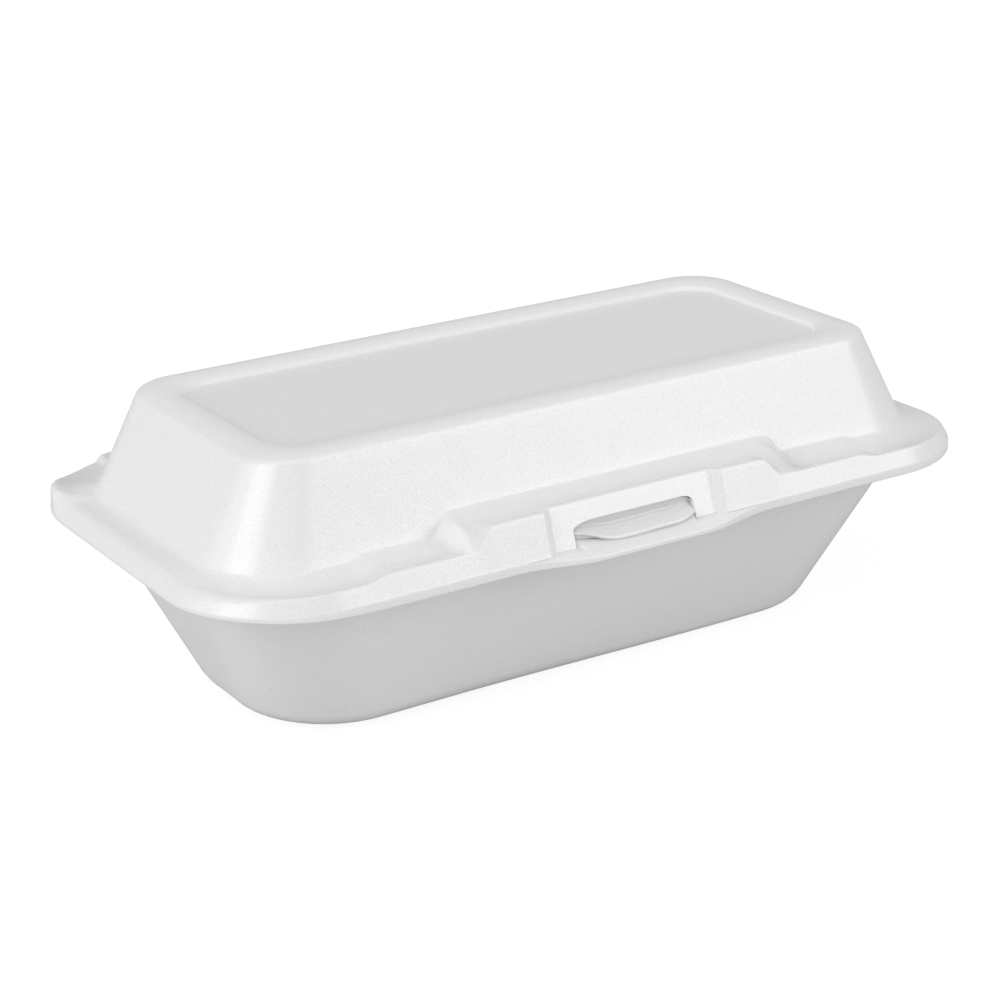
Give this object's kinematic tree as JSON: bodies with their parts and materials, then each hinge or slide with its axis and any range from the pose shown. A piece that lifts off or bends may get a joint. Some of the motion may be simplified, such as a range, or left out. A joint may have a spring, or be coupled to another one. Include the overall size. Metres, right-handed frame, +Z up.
{
  "type": "hinged-lid foam food container",
  "caption": "White foam take-away box: a sloping tray and a lid that folds open on a pressed crease at the back, held shut by a tongue that hooks through a slot in front.",
  "frame": {"origin": "centre of the tray's underside, on the surface it stands on", "axes": "+X along the long side, +Y to the hinge at the back, -Y to the latch, +Z up"},
  "size_m": [0.248, 0.1398, 0.0822],
  "materials": {
    "foam_sheet": "white expanded foam with a fine skinned grain and a soft sheen",
    "pressed_foam": "the same white foam pressed thin and smooth"
  },
  "bodies": {
    "tray": {"tray": "foam_sheet", "living_hinge": "pressed_foam"},
    "lid": {"lid": "foam_sheet"}
  },
  "joints": [
    {"name": "lid_hinge", "type": "hinge", "parent": "tray", "child": "lid", "pos_m": [0, 0.0675, 0.0502], "axis": [-1, 0, 0], "range_deg": [0, 178], "deforming": ["living_hinge"]}
  ]
}
